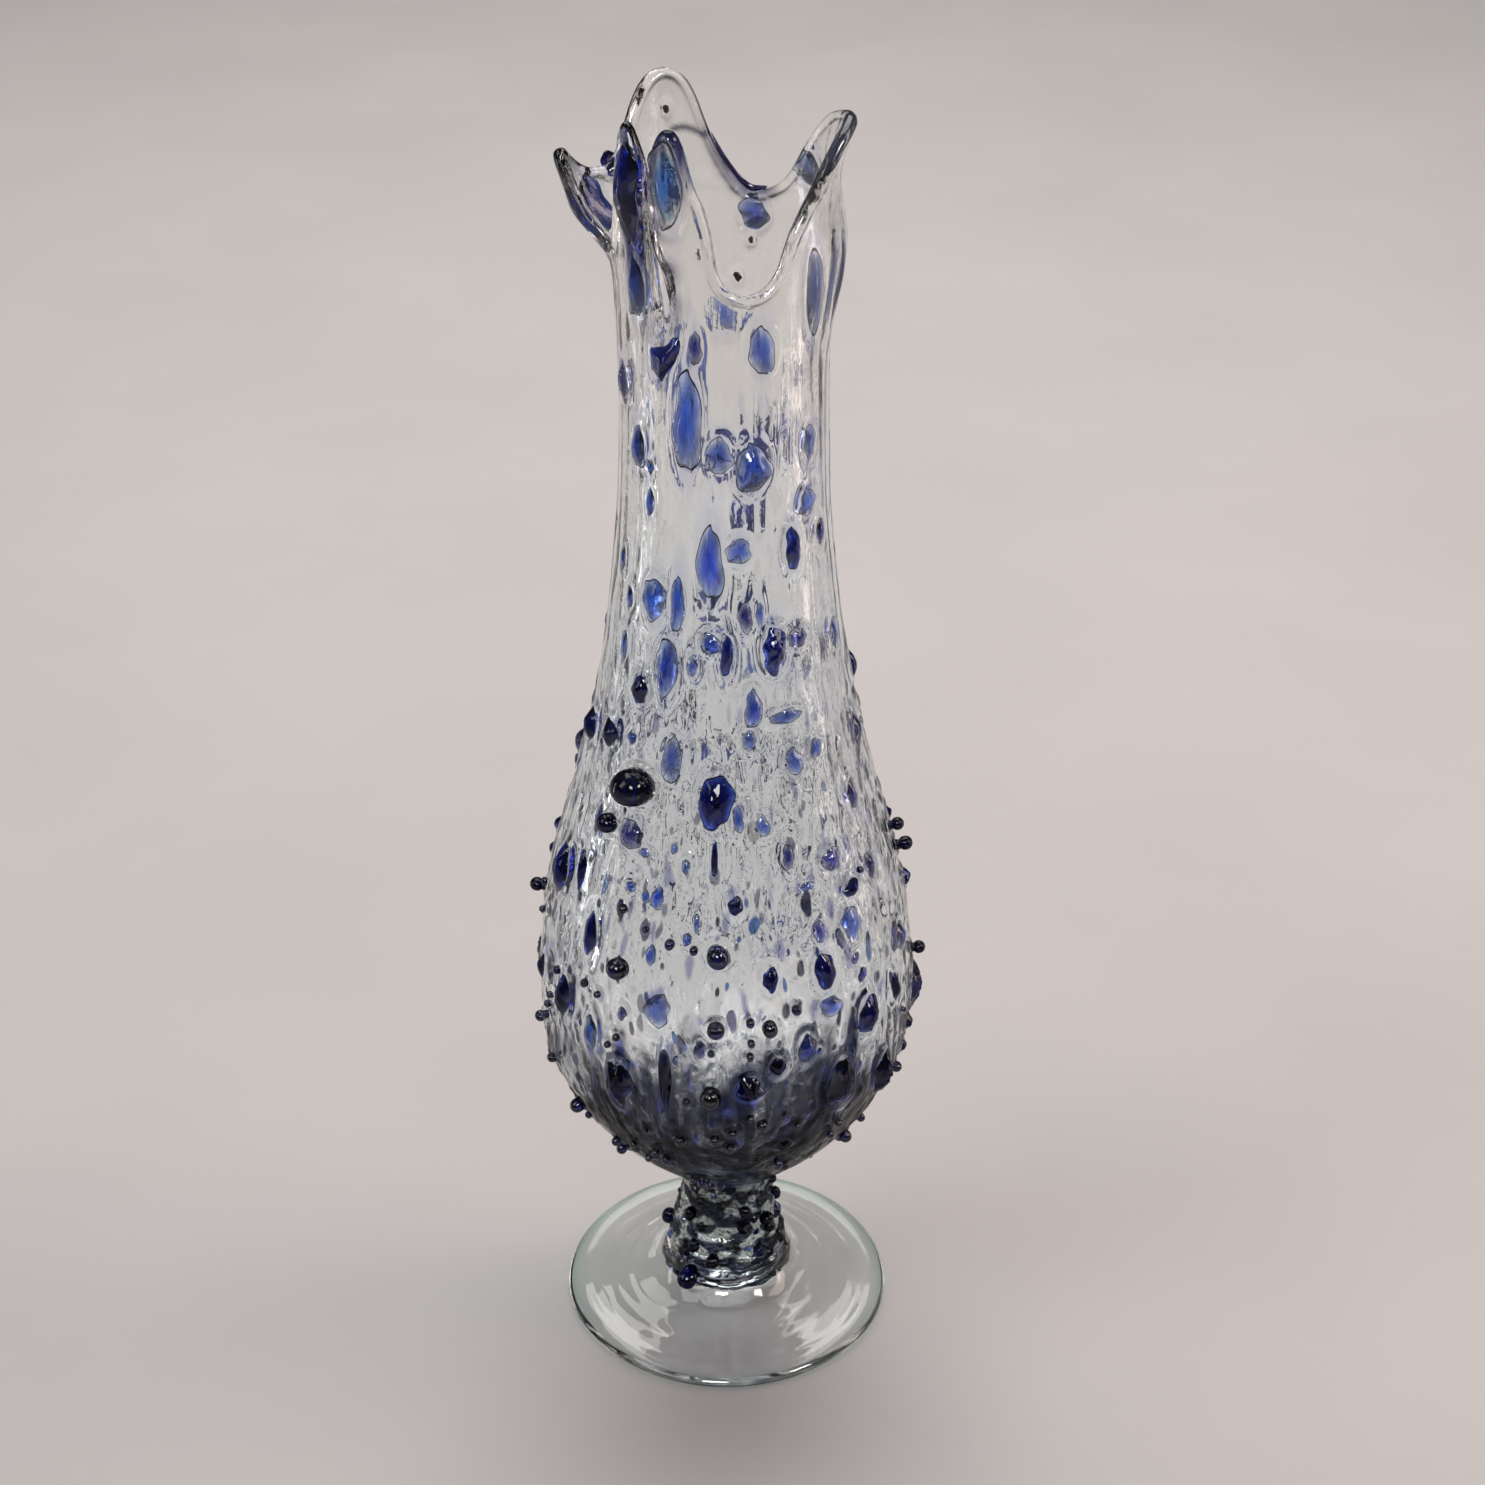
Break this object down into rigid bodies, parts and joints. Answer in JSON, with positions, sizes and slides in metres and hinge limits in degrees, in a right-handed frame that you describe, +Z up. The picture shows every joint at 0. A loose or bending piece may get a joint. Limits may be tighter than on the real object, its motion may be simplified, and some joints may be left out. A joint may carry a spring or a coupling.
{
  "type": "footed glass vase",
  "caption": "Tall hand blown clear glass vase with a pulled lobed rim, long neck, bulbous body studded with blue glass drops, short stem and round foot.",
  "frame": {"origin": "centre of the foot's underside, on the plane it stands on", "axes": "+Z up along the vase's axis from foot to rim; -Y is the side with the low front gap in the rim; +X is the side of the wide pulled lip"},
  "size_m": [0.1251, 0.1255, 0.4063],
  "materials": {
    "clear_body": "fire-polished",
    "clear_stem": "fire-polished",
    "clear_foot": "fire-polished",
    "navy_glass": "fire-polished",
    "cobalt_glass": "fire-polished",
    "pale_glass": "fire-polished",
    "violet_glass": "fire-polished",
    "brown_glass": "fire-polished"
  },
  "bodies": {
    "root": {"body_bubble": "clear_body", "stem_knop": "clear_stem", "foot_disc": "clear_foot", "stem_drop": "navy_glass", "proud_nubs": "navy_glass", "rim_chips": "cobalt_glass", "rim_wash": "pale_glass", "rim_specks": "brown_glass", "neck_chips_blue": "cobalt_glass", "neck_chips_pale": "pale_glass", "shoulder_drops": "navy_glass", "shoulder_flecks": "violet_glass", "belly_chunks": "navy_glass", "belly_beads": "cobalt_glass", "belly_flecks": "violet_glass", "bowl_beads": "violet_glass", "stem_frit": "navy_glass"}
  },
  "joints": []
}
